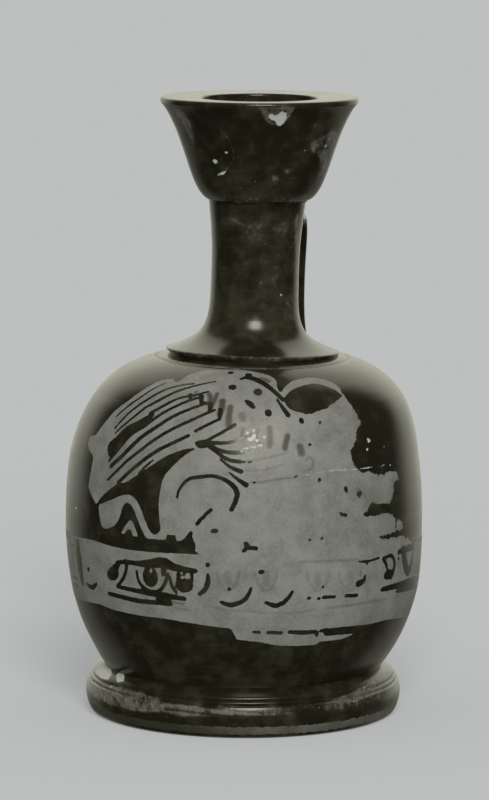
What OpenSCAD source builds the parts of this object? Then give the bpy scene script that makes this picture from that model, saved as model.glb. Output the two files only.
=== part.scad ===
// Squat oil flask of thrown and luted clay: ring foot, closed body, waisted neck in a
// flared collar, calyx mouth with a broad flat lip, and one strap handle behind.
// The mouth faces up, the painted side faces -Y, and the foot stands on z = 0.

/* [Whole vessel] */
// Height from the table to the top of the lip
vessel_height = 160; // [156:1:170]
// Greatest diameter, at the belly
belly_diameter = 93; // [88:1:98]
// Height of the widest point of the belly
belly_height = 50; // [46:1:54]
// Height of the shoulder at the collar's edge
shoulder_height = 93.4; // [92.6:0.1:94.4]
// Height of the joint between neck and mouth
mouth_joint_height = 133; // [130:0.5:136]

/* [Foot] */
// Greatest diameter of the ring foot
foot_diameter = 82.2; // [80:0.2:86]
// Height of the foot's widest point
foot_widest_height = 5.4; // [5:0.1:6.5]
// Radius of the foot's rounded upper side
foot_upper_radius = 7.5; // [7.2:0.1:8]
// Radius of the foot's lower side
foot_lower_radius = 9.2; // [8.5:0.1:11]
// Width of the ring that the flask stands on
resting_ring_width = 7; // [5:0.5:9]
// Depth of the turned hollow under the foot
recess_depth = 4.8; // [4.4:0.1:5.2]
// Depth of each scored line round the foot
groove_depth = 0.45; // [0.2:0.05:0.6]

/* [Body] */
// Thickness of the thrown wall
wall = 4.2; // [3.5:0.1:5]
// Radius of the body's flat underside, seated in the foot
seat_radius = 34; // [33:0.5:35]
// Height of the body's flat underside
seat_height = 9; // [8.6:0.1:9.4]
// Radius of the throat that opens into the body
throat_radius = 8; // [7:0.5:9]

/* [Neck and collar] */
// Radius of the neck at its waist
waist_radius = 11.4; // [11:0.1:12.5]
// Radius of the bore through the neck
bore_radius = 6.5; // [5.5:0.1:7]
// Radius of the collar's edge
collar_radius = 22.5; // [21:0.5:24]
// Height of the collar's edge above the shoulder
collar_edge = 1.3; // [1.1:0.1:2]
// How far the neck is luted off the body's axis
neck_offset = 2; // [0:0.1:2.5]
// How far the neck leans to the side, in degrees
neck_lean = 1.5; // [0:0.1:1.8]
// How far the neck leans back towards the handle, in degrees
neck_lean_back = 1.6; // [0:0.1:2]

/* [Mouth] */
// Diameter over the lip
lip_diameter = 51.2; // [48:0.2:54]
// Width of the flat top of the lip
lip_width = 9.3; // [7:0.1:10]
// How far the flat top drops towards the orifice
lip_drop = 0.3; // [0:0.05:0.6]
// How far the mouth is luted off the neck's axis
mouth_shift = 0.4; // [0:0.1:0.6]

/* [Handle] */
// Width of the strap at its middle
strap_width = 17.4; // [13:0.2:18]
// Thickness of the strap at its middle
strap_thickness = 4.4; // [3.6:0.1:5]
// Distance of the strap's middle from the neck's axis
strap_reach = 21.2; // [20.5:0.1:23]
// How far round from straight behind the strap is set, in degrees
strap_turn = 13; // [0:1:20]

/* [Hidden] */
$fn = 120;

GLOSS = [0.13, 0.13, 0.10];
STEPS = 22;             // steps along each profile curve
BEYOND = 200;           // larger than the flask, for cutting blocks

belly_radius = belly_diameter / 2;
foot_radius = foot_diameter / 2;
lip_radius = lip_diameter / 2;

// Foot
foot_chamfer = 0.9;     // width of the worn lower arris
lower_side_inset = 2.5; // from the foot's widest radius to the resting ring
recess_slope = 4;       // how far the hollow's side leans in
groove_angles = [26, 36]; // places of the scored lines on the upper curve
groove_half_angle = 6.3;

// Body
entry = [36.05, 12];    // where the wall comes out of the foot
entry_lean = 55.6;      // slope of the wall there, in degrees
entry_pull = 15.1;      // pulls are the lengths of the curves' control arms
belly_pull_down = 16;
belly_pull_up = 28.6;
shoulder_pull = 18.2;
shoulder_rise = 11;     // slope of the shoulder at the collar's edge, in degrees
floor_height = seat_height + wall + 1;
floor_fillet = 5;       // width of the curve between floor and wall
scored_radius = 25;     // scored line on the shoulder round the collar
scored_depth = 0.35;
scored_width = 0.8;

// Neck, in the neck's own frame: z = 0 at the shoulder's height by the collar's edge
root_radius = waist_radius - 0.3; // turned root that enters the collar and the throat
root_depth = 2;         // how far the root enters the shoulder
collar_top = 9.6;       // height of the collar's upper end
collar_undercut = 1.1;  // how far the collar's edge leans in below
collar_arm = [-11.2, 3.6]; // control arm of the flare at the collar's edge
waist_height = 23;
waist_pull_down = 15.8;
waist_pull_up = 7.2;
neck_length = mouth_joint_height - shoulder_height;
neck_top_radius = waist_radius + 1.2;
neck_top_lean = 83;     // slope of the neck under the mouth, in degrees
neck_top_pull = 4.6;
spigot_radius = 9.5;    // tongue of the neck in the mouth's socket
spigot_height = 3;
// The mouth stands upright on the top of the leaning neck
neck_top_centre = [neck_offset + neck_length * tan(neck_lean),
                   neck_length * tan(neck_lean_back) / cos(neck_lean)];

// Mouth
lip_round = 1.4;        // height of the lip's rounded edge
lip_ease = 0.7;         // width of the lip's rounded edge
orifice_radius = lip_radius - lip_ease - lip_width;
orifice_ease = 0.6;     // width of the rounding at the orifice
calyx = [17.7, mouth_joint_height + 7.4]; // where the base curve becomes the flaring wall
calyx_lean = 68.5;      // slope of the wall there, in degrees
calyx_pull_down = 1.95;
calyx_pull_up = 3.95;
lip_lean = 47;          // slope of the wall under the lip, in degrees
lip_pull = 5.5;

// Handle
strap_sides = 28;
root_spread = 3;        // how much wider the strap is at its roots
root_swell = 1.3;       // how much thicker

// Point list of a cubic curve through four control points
function bezier(p, n = STEPS) = [for (i = [0 : n]) let (t = i / n)
    pow(1 - t, 3) * p[0] + 3 * pow(1 - t, 2) * t * p[1] + 3 * (1 - t) * t * t * p[2] + pow(t, 3) * p[3]];

// Point list of a circular arc
function arc(centre, r, from, to, n = 12) = [for (i = [0 : n]) let (a = from + (to - from) * i / n)
    centre + r * [cos(a), sin(a)]];

function polar(r, a) = r * [cos(a), sin(a)];
function without_first(list) = [for (i = [1 : len(list) - 1]) list[i]];
function without_last(list) = [for (i = [0 : len(list) - 2]) list[i]];

// Body wall from its seat in the foot up to the collar's edge, inset by the wall thickness for the inside
function belly_curve(inset) = let (
    base = entry - [inset, 0],
    widest = [belly_radius - inset, belly_height],
    top = [collar_radius, shoulder_height - inset])
    concat(
        bezier([base, base + polar(entry_pull, entry_lean), widest - [0, belly_pull_down], widest]),
        without_first(bezier([widest, widest + [0, belly_pull_up - inset / 2],
                              top + polar(shoulder_pull - inset, -shoulder_rise), top])));

module turn(points) rotate_extrude() polygon(points);

// Everything inside the body's outer surface
module body_envelope() {
    dome_top = shoulder_height + collar_radius * tan(shoulder_rise);
    turn(concat([[0, seat_height], [seat_radius, seat_height]], belly_curve(0), [[0, dome_top]]));
}

module body_hollow() {
    hollow_top = shoulder_height - wall + 0.3;
    wall_points = [for (p = belly_curve(wall)) if (p.y > floor_height + floor_fillet) p];
    foot_of_wall = wall_points[0];
    fillet = bezier([[foot_of_wall.x - floor_fillet - 2, floor_height], [foot_of_wall.x - 3, floor_height],
                     foot_of_wall - polar(3, entry_lean), foot_of_wall], 6);
    turn(concat([[0, floor_height]], without_last(fillet), wall_points, [[0, hollow_top]]));
}

// Places its children on the leaning axis of the neck
module neck_frame() translate([neck_offset, 0, shoulder_height])
    rotate([-neck_lean_back, neck_lean, 0]) children();

// Places its children upright over the top of the neck, shifted sideways
module upright_frame(shift) translate([neck_top_centre.x + shift, neck_top_centre.y, 0]) children();

// Outer form of neck and collar together, so that their curve runs through the joint
module neck_blank() {
    edge_top = [collar_radius, collar_edge];
    waist = [waist_radius, waist_height];
    top = [neck_top_radius, neck_length];
    turn(concat(
        [[0, -6], [collar_radius - collar_undercut - 0.6, -6], [collar_radius - collar_undercut, -0.2],
         edge_top - [0, 0.4]],
        bezier([edge_top - [0.2, 0], edge_top + collar_arm, waist - [0, waist_pull_down], waist]),
        without_first(bezier([waist, waist + [0, waist_pull_up],
                              top - polar(neck_top_pull, neck_top_lean), top])),
        [[neck_top_radius, neck_length + 3], [0, neck_length + 3]]));
}

module root_cylinder(extra) translate([0, 0, -root_depth])
    cylinder(r = root_radius, h = root_depth + collar_top + extra);

module block_above(z) translate([-BEYOND, -BEYOND, z]) cube(2 * BEYOND);
module block_below(z) translate([-BEYOND, -BEYOND, z - 2 * BEYOND]) cube(2 * BEYOND);

// Ring foot, thrown and turned, with two scored lines and a hollow underside
module foot() {
    ring_inner = foot_radius - lower_side_inset - resting_ring_width;
    upper_centre = [foot_radius - foot_upper_radius, foot_widest_height];
    lower_centre = [foot_radius - foot_lower_radius, foot_widest_height];
    lowest_angle = asin((foot_widest_height - foot_chamfer / 2) / foot_lower_radius);
    lower_side = arc(lower_centre, foot_lower_radius, -lowest_angle, 0);
    color(GLOSS) difference() {
        turn(concat(
            [[0, recess_depth], [ring_inner - recess_slope, recess_depth - 0.3], [ring_inner, 0],
             [lower_side[0].x - foot_chamfer, 0]],
            lower_side,
            without_first(arc(upper_centre, foot_upper_radius, 0, 88)),
            [[0, foot_widest_height + foot_upper_radius]]));
        body_envelope();
        for (a = groove_angles)
            turn([upper_centre + polar(foot_upper_radius - groove_depth, a),
                  upper_centre + polar(foot_upper_radius + 0.4, a - groove_half_angle),
                  upper_centre + polar(foot_upper_radius + 0.4, a + groove_half_angle)]);
    }
}

// Stepped throat: a seat for the neck's root, and the passage below it into the body
module throat() turn([[0, -20], [throat_radius, -20], [throat_radius, -root_depth],
                      [root_radius, -root_depth], [root_radius, 20], [0, 20]]);

// Scored line on the shoulder round the collar
module shoulder_line() {
    surface = (collar_radius - scored_radius) * tan(shoulder_rise + 1.5);
    turn([[scored_radius, surface - scored_depth], [scored_radius + scored_width, surface + 0.6],
          [scored_radius - scored_width, surface + 0.6]]);
}

// Closed body, thrown in one piece
module body() color(GLOSS) difference() {
    body_envelope();
    body_hollow();
    neck_frame() throat();
    neck_frame() shoulder_line();
}

// Flared collar, a coil of clay smoothed over the joint of neck and shoulder
module collar() color(GLOSS) difference() {
    neck_frame() intersection() {
        neck_blank();
        block_below(collar_top);
    }
    neck_frame() root_cylinder(1);
    body_envelope();
}

// Waisted neck: a thrown tube with a root below and a tongue above
module neck() color(GLOSS) difference() {
    union() {
        intersection() {
            neck_frame() intersection() {
                neck_blank();
                block_above(collar_top);
            }
            block_below(mouth_joint_height);
        }
        neck_frame() root_cylinder(0);
        spigot();
    }
    neck_frame() translate([0, 0, -root_depth - 1]) cylinder(r = bore_radius, h = neck_length + 10);
}

// Tongue on the neck that enters a socket in the mouth
module spigot() upright_frame(0) translate([0, 0, mouth_joint_height - 1])
    cylinder(r = spigot_radius, h = spigot_height + 1);

// Rounded base, flaring wall and broad flat lip
module mouth_outside() {
    joint = mouth_joint_height;
    lip_under = [lip_radius, vessel_height - lip_round];
    turn(concat(
        [[0, joint], [neck_top_radius, joint]],
        bezier([[neck_top_radius + 0.1, joint + 0.35], [15.3, joint + 0.9],
                calyx - polar(calyx_pull_down, calyx_lean), calyx], 12),
        without_first(bezier([calyx, calyx + polar(calyx_pull_up, calyx_lean),
                              lip_under - polar(lip_pull, lip_lean), lip_under], 16)),
        without_first(arc([lip_radius - lip_ease, vessel_height - lip_ease], lip_ease, 0, 90, 5)),
        [[orifice_radius, vessel_height - lip_drop], [0, vessel_height - lip_drop]]));
}

// Funnel from the orifice down to the neck's bore
module mouth_funnel() {
    rim = vessel_height - lip_drop;
    foot = [bore_radius + 0.8, mouth_joint_height + spigot_height];
    top = [orifice_radius - orifice_ease, rim - orifice_ease];
    turn(concat(
        [[0, mouth_joint_height - 1], [foot.x, mouth_joint_height - 1]],
        bezier([foot, foot + [4, 3.5], top - [0.6, 11], top], 14),
        [[orifice_radius, rim + 0.02], [orifice_radius, vessel_height + 1], [0, vessel_height + 1]]));
}

// Calyx mouth, thrown by itself and set on the neck
module mouth() color(GLOSS) difference() {
    upright_frame(mouth_shift) difference() {
        mouth_outside();
        mouth_funnel();
    }
    spigot();
}

// Path of the strap in the neck's frame, as distance from the axis and height
function strap_path() = let (out = strap_reach) concat(
    bezier([[out - 11.4, 34.7], [out - 3.8, 36.4], [out, 33.2], [out, 25.6]], 12),
    without_first(bezier([[out, 25.6], [out, 21], [out, 17], [out, 12.6]], 3)),
    without_first(bezier([[out, 12.6], [out, 5], [out + 2.6, 1], [out + 7.6, -5.4]], 12)));

function signed_power(x, e) = sign(x) * pow(abs(x), e);

// Lens-shaped cross-section, broad and thin, fuller on the outer face
function strap_section(width, thickness) = [for (k = [0 : strap_sides - 1]) let (
    a = 360 * k / strap_sides,
    fullness = sin(a) > 0 ? 1.1 : 0.9)
    [width / 2 * signed_power(cos(a), 0.85), fullness * thickness / 2 * signed_power(sin(a), 0.8)]];

// The section carried along the path, wider and thicker towards both roots
module strap() {
    path = strap_path();
    last = len(path) - 1;
    rings = [for (i = [0 : last]) let (
        along = path[min(i + 1, last)] - path[max(i - 1, 0)],
        outward = [-along.y, along.x] / norm(along),
        rooting = pow(2 * i / last - 1, 2),
        section = strap_section(strap_width + root_spread * rooting, strap_thickness + root_swell * rooting))
        [for (s = section) [s.x, path[i].x + outward.x * s.y, path[i].y + outward.y * s.y]]];
    sleeve = [for (i = [0 : last - 1], k = [0 : strap_sides - 1]) let (n = (k + 1) % strap_sides)
        [i * strap_sides + k, i * strap_sides + n, (i + 1) * strap_sides + n, (i + 1) * strap_sides + k]];
    first_cap = [for (k = [strap_sides - 1 : -1 : 0]) k];
    last_cap = [for (k = [0 : strap_sides - 1]) last * strap_sides + k];
    polyhedron([for (r = rings, p = r) p], concat([first_cap], sleeve, [last_cap]));
}

// Strap handle, pressed on below the mouth and on the shoulder
module handle() color(GLOSS) difference() {
    neck_frame() rotate([0, 0, -strap_turn]) strap();
    neck_frame() neck_blank();
    body_envelope();
}

foot();
body();
collar();
neck();
mouth();
handle();
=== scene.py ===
import math

import bpy
import numpy as np
from mathutils import Matrix, Vector
from mathutils.bvhtree import BVHTree


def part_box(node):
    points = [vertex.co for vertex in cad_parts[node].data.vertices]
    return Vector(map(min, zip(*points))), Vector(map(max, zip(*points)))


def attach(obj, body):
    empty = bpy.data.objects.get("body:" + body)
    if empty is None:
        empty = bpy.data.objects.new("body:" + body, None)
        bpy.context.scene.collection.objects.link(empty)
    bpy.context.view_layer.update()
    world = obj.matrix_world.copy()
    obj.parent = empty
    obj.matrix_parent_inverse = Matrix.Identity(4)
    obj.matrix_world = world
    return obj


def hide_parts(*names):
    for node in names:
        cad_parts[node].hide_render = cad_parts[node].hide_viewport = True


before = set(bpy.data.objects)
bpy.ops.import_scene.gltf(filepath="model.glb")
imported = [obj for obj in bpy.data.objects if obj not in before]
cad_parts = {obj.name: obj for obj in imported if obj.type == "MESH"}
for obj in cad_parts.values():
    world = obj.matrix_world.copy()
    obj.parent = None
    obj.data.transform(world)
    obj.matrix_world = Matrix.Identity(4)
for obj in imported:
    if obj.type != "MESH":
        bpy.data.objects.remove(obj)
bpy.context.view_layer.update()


# ---- View ---------------------------------------------------------------------------------
# The flask was photographed from a little over a metre, slightly from above, with the plate
# turned by a third of a degree. The decoration is placed through this same view.
image_width = 489
image_height = 800
focal_length_in_pixels = 4480.8
camera_place = Vector((0, -1.1524, 0.2397))
camera_aim = Vector((0, 0, 0.0812))
camera_roll = math.radians(0.3)

camera_data = bpy.data.cameras.new("photograph_view")
camera_data.sensor_width = 36
camera_data.lens = camera_data.sensor_width * focal_length_in_pixels / image_height
camera_data.clip_start = 0.05
camera_data.clip_end = 40
camera = bpy.data.objects.new("photograph_view", camera_data)
bpy.context.scene.collection.objects.link(camera)
camera_turn = (camera_aim - camera_place).to_track_quat("-Z", "Y").to_matrix()
camera_turn = camera_turn @ Matrix.Rotation(camera_roll, 3, "Z")
camera.matrix_world = Matrix.Translation(camera_place) @ camera_turn.to_4x4()
bpy.context.scene.camera = camera
bpy.context.scene.view_settings.view_transform = "Standard"


# ---- Foot ---------------------------------------------------------------------------------
# A thick ring of clay, thrown by itself, turned with a hollow underneath and two scored lines
# above, and luted to the body. Black all over but for a reserved band at the bottom edge.
mm = 0.001
foot_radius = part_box("foot")[1].x
foot_widest_height = 5.4 * mm
foot_upper_radius = 7.5 * mm
foot_lower_radius = 9.2 * mm
foot_meets_body = 69                    # degrees up the rounded side
foot_lower_inset = 2.5 * mm
foot_chamfer = 0.9 * mm
resting_ring_width = 7 * mm
recess_depth = 4.8 * mm
recess_slope = 4 * mm
recess_dish = 0.3 * mm                  # how much deeper the hollow is in its middle
scored_lines = (26, 36)                 # degrees up the rounded side
scored_depth = 0.42 * mm
scored_half_width = 2.6                 # degrees
seat_radius = 34 * mm
seat_height = 9 * mm
body_entry = (36.05 * mm, 12 * mm)
reserved_band = (1.15 * mm, 3.25 * mm)  # heights between which the clay is bare
bare_through = 3.0                      # depth in mm inside bare clay, where nothing is painted
all_black = -9.0                        # the same where nothing is bare
ridge_height = 7.4 * mm                 # where the foot is rubbed most
ridge_reach = 1.5 * mm
ridge_wear = 0.45
foot_side_steps = 69


class Wire:
    """A node's output in a tree. Sums on wires add Math nodes, and make() adds any other node."""

    def __init__(self, tree, socket=None):
        self.tree = tree
        self.socket = socket

    def plug(self, socket, value):
        if isinstance(value, Wire):
            self.tree.links.new(value.socket, socket)
        else:
            socket.default_value = value

    def make(self, kind, settings=None, sockets=None, output=0):
        node = self.tree.nodes.new(kind)
        for name, value in (settings or {}).items():
            setattr(node, name, value)
        for name, value in (sockets or {}).items():
            self.plug(node.inputs[name], value)
        return Wire(self.tree, node.outputs[output]) if node.outputs else None

    def other(self, output):
        """Another output of the node that this wire comes from."""
        return Wire(self.tree, self.socket.node.outputs[output])

    def join(self, operation, *values):
        return self.make("ShaderNodeMath", {"operation": operation}, dict(enumerate(values)))

    def maths(self, operation, *others):
        """This wire, and then any others, through one Math node."""
        return self.join(operation, self, *others)

    def __add__(self, other):
        return self.join("ADD", self, other)

    def __radd__(self, other):
        return self.join("ADD", other, self)

    def __sub__(self, other):
        return self.join("SUBTRACT", self, other)

    def __rsub__(self, other):
        return self.join("SUBTRACT", other, self)

    def __mul__(self, other):
        return self.join("MULTIPLY", self, other)

    def __rmul__(self, other):
        return self.join("MULTIPLY", other, self)

    def __truediv__(self, other):
        return self.join("DIVIDE", self, other)

    def __neg__(self):
        return self.join("MULTIPLY", self, -1)

    def ramp(self, low, high):
        """0 below low, 1 above high, and smooth between them."""
        sockets = {"Value": self, "From Min": low, "From Max": high}
        return self.make("ShaderNodeMapRange", {"interpolation_type": "SMOOTHSTEP"}, sockets)

    def between(self, first, second):
        """A number that goes from first to second as this wire goes from 0 to 1."""
        return self.make("ShaderNodeMix", {"data_type": "FLOAT"}, {0: self, 2: first, 3: second})

    def colour(self, first, second):
        """A colour that goes from first to second as this wire goes from 0 to 1."""
        return self.make("ShaderNodeMix", {"data_type": "RGBA"}, {0: self, 6: first, 7: second}, 2)


rounding = 0.0001                       # against rounding errors, when a point's column is counted
ring_rise = 0.3 * mm                    # how far the rings climb from one side to the other
hand_height = 35 * mm                   # over which the wall swells and shrinks
rings_die_out = 8 * mm                  # from the axis
merged_within = 0.01 * mm


def new_tree(name, kinds):
    """A Geometry Nodes tree with these inputs, as a wire in it and the inputs by name."""
    tree = bpy.data.node_groups.new(name, "GeometryNodeTree")
    for label, kind in kinds.items():
        tree.interface.new_socket(label, in_out="INPUT", socket_type="NodeSocket" + kind)
    tree.interface.new_socket("Clay", in_out="OUTPUT", socket_type="NodeSocketGeometry")
    entry = tree.nodes.new("NodeGroupInput")
    return Wire(tree), {socket.name: Wire(tree, socket) for socket in entry.outputs if socket.name}


def close_tree(wire, clay, finish, crease=None):
    """The last steps of a tree: points merged, smooth but for creases, and the finish put on."""
    clay = wire.make("GeometryNodeMergeByDistance", None, {"Geometry": clay, "Distance": merged_within})
    clay = wire.make("GeometryNodeSetShadeSmooth", {"domain": "FACE"}, {"Geometry": clay})
    if crease:
        sharp = wire.make("GeometryNodeInputMeshEdgeAngle").maths("GREATER_THAN", crease)
        sockets = {"Geometry": clay, "Selection": sharp, "Shade Smooth": False}
        clay = wire.make("GeometryNodeSetShadeSmooth", {"domain": "EDGE"}, sockets)
    clay = wire.make("GeometryNodeRealizeInstances", None, {"Geometry": clay})
    clay = wire.make("GeometryNodeSetMaterial", None, {"Geometry": clay, "Material": finish})
    leave = wire.tree.nodes.new("NodeGroupOutput")
    wire.tree.links.new(clay.socket, leave.inputs["Clay"])
    return wire.tree


def wheel_tree():
    """Turns a profile round the z axis, as on the wheel, with the uneven rings that fingers leave."""
    wire, given = new_tree("thrown_on_the_wheel", {
        "Profile": "Geometry", "Columns": "Int", "Crowding": "Float", "Ring height": "Float",
        "Ring depth": "Float", "Unevenness": "Float", "Seed": "Float", "Crease": "Float",
        "Finish": "Material"})
    rows = wire.make("GeometryNodeAttributeDomainSize", None, {0: given["Profile"]})
    columns = given["Columns"]
    wall = wire.make("GeometryNodeMeshGrid", None, {"Vertices X": columns + 1, "Vertices Y": rows})
    index = wire.make("GeometryNodeInputIndex")
    column = (index / rows + rounding).maths("FLOOR")
    row = index - column * rows

    def from_profile(field, kind):
        sockets = {"Geometry": given["Profile"], "Value": field, "Index": row}
        return wire.make("GeometryNodeSampleIndex", {"data_type": kind, "domain": "POINT"}, sockets)

    place = from_profile(wire.make("GeometryNodeInputPosition"), "FLOAT_VECTOR")
    apart = wire.make("ShaderNodeSeparateXYZ", None, {0: place})
    height = apart.other("Z")
    even_turn = column / columns * math.tau
    turn = even_turn - given["Crowding"] * even_turn.maths("SINE")
    across = turn.maths("SINE")
    towards_back = -turn.maths("COSINE")
    ring_place = (height + across * ring_rise) / given["Ring height"] + given["Seed"]
    finger = {"W": ring_place, "Scale": 1, "Detail": 2}
    rings = wire.make("ShaderNodeTexNoise", {"noise_dimensions": "1D"}, finger)
    around = wire.make("ShaderNodeCombineXYZ", None,
                       {0: across, 1: towards_back, 2: height / hand_height})
    hand = {"Vector": around, "W": given["Seed"], "Scale": 1.1, "Detail": 1}
    swell = wire.make("ShaderNodeTexNoise", {"noise_dimensions": "4D"}, hand)
    lost = given["Ring depth"] * rings + given["Unevenness"] * swell
    lost = lost * (apart / rings_die_out).maths("MINIMUM", 1)
    radius = (apart - lost).maths("MAXIMUM", 0)
    spot = wire.make("ShaderNodeCombineXYZ", None,
                     {0: radius * across, 1: radius * towards_back, 2: height})
    clay = wire.make("GeometryNodeSetPosition", None, {"Geometry": wall, "Position": spot})
    for name in ("rub", "bare"):
        field = wire.make("GeometryNodeInputNamedAttribute", {"data_type": "FLOAT"}, {"Name": name})
        sockets = {"Geometry": clay, "Name": name, "Value": from_profile(field, "FLOAT")}
        on_points = {"data_type": "FLOAT", "domain": "POINT"}
        clay = wire.make("GeometryNodeStoreNamedAttribute", on_points, sockets)
    return close_tree(wire, clay, given["Finish"], given["Crease"])


on_the_wheel = wheel_tree()
sharp_edge = math.radians(38)           # a turn in the surface that stays a crease


def finished_mesh(piece, tree, inputs):
    """Runs a Geometry Nodes tree on the piece with these named inputs, and leaves a plain mesh."""
    maker = piece.modifiers.new("maker", "NODES")
    maker.node_group = tree
    for socket in tree.interface.items_tree:
        if socket.in_out == "INPUT" and socket.name in inputs:
            maker[socket.identifier] = inputs[socket.name]
    bpy.context.view_layer.update()
    made = bpy.data.meshes.new_from_object(piece.evaluated_get(bpy.context.evaluated_depsgraph_get()))
    piece.modifiers.remove(maker)
    piece.data = made
    made.name = piece.name


def throw(name, outline, finish, rub=None, bare=None, columns=256, crowding=0.0,
          rings=(5 * mm, 0.08 * mm), unevenness=0.12 * mm, seed=1.0):
    """A thrown piece from its outline, a list of (radius, height). The rings have a height and a depth,
    and crowding draws the columns together in front, where the paint is."""
    profile = bpy.data.meshes.new(name)
    edges = [(i, i + 1) for i in range(len(outline) - 1)]
    profile.from_pydata([(r, 0, z) for r, z in outline], edges, [])
    for attribute, values in (("rub", rub), ("bare", bare)):
        layer = profile.attributes.new(attribute, "FLOAT", "POINT")
        plain = all_black if attribute == "bare" else 0.0
        layer.data.foreach_set("value", [plain] * len(outline) if values is None else values)
    piece = bpy.data.objects.new(name, profile)
    bpy.context.scene.collection.objects.link(piece)
    finished_mesh(piece, on_the_wheel, {
        "Columns": columns, "Crowding": crowding, "Ring height": rings[0], "Ring depth": rings[1],
        "Unevenness": unevenness, "Seed": seed, "Crease": sharp_edge, "Finish": finish})
    return piece


def bend(points, steps=16):
    """Points on a cubic curve through four control points, the first left out."""
    a, b, c, d = (np.array(p, float) for p in points)
    curve = []
    for t in np.arange(1, steps + 1) / steps:
        u = 1 - t
        curve.append(tuple(u ** 3 * a + 3 * u ** 2 * t * b + 3 * u * t * t * c + t ** 3 * d))
    return curve


def arc(centre, radius, start, end, steps=10):
    """Points on a circular arc from one angle to another, in degrees."""
    angles = [math.radians(start + (end - start) * i / steps) for i in range(steps + 1)]
    return [(centre[0] + radius * math.cos(a), centre[1] + radius * math.sin(a)) for a in angles]


def polar(length, angle):
    """A step of this length, in a direction given in degrees."""
    return np.array((length * math.cos(math.radians(angle)), length * math.sin(math.radians(angle))))


def spaced(outline, step):
    """The same outline with its points an even step apart."""
    line = np.array(outline, float)
    along = np.concatenate(([0], np.cumsum(np.hypot(*np.diff(line, axis=0).T))))
    places = np.linspace(0, along[-1], max(2, round(along[-1] / step) + 1))
    return [(np.interp(p, along, line[:, 0]), np.interp(p, along, line[:, 1])) for p in places]


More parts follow.
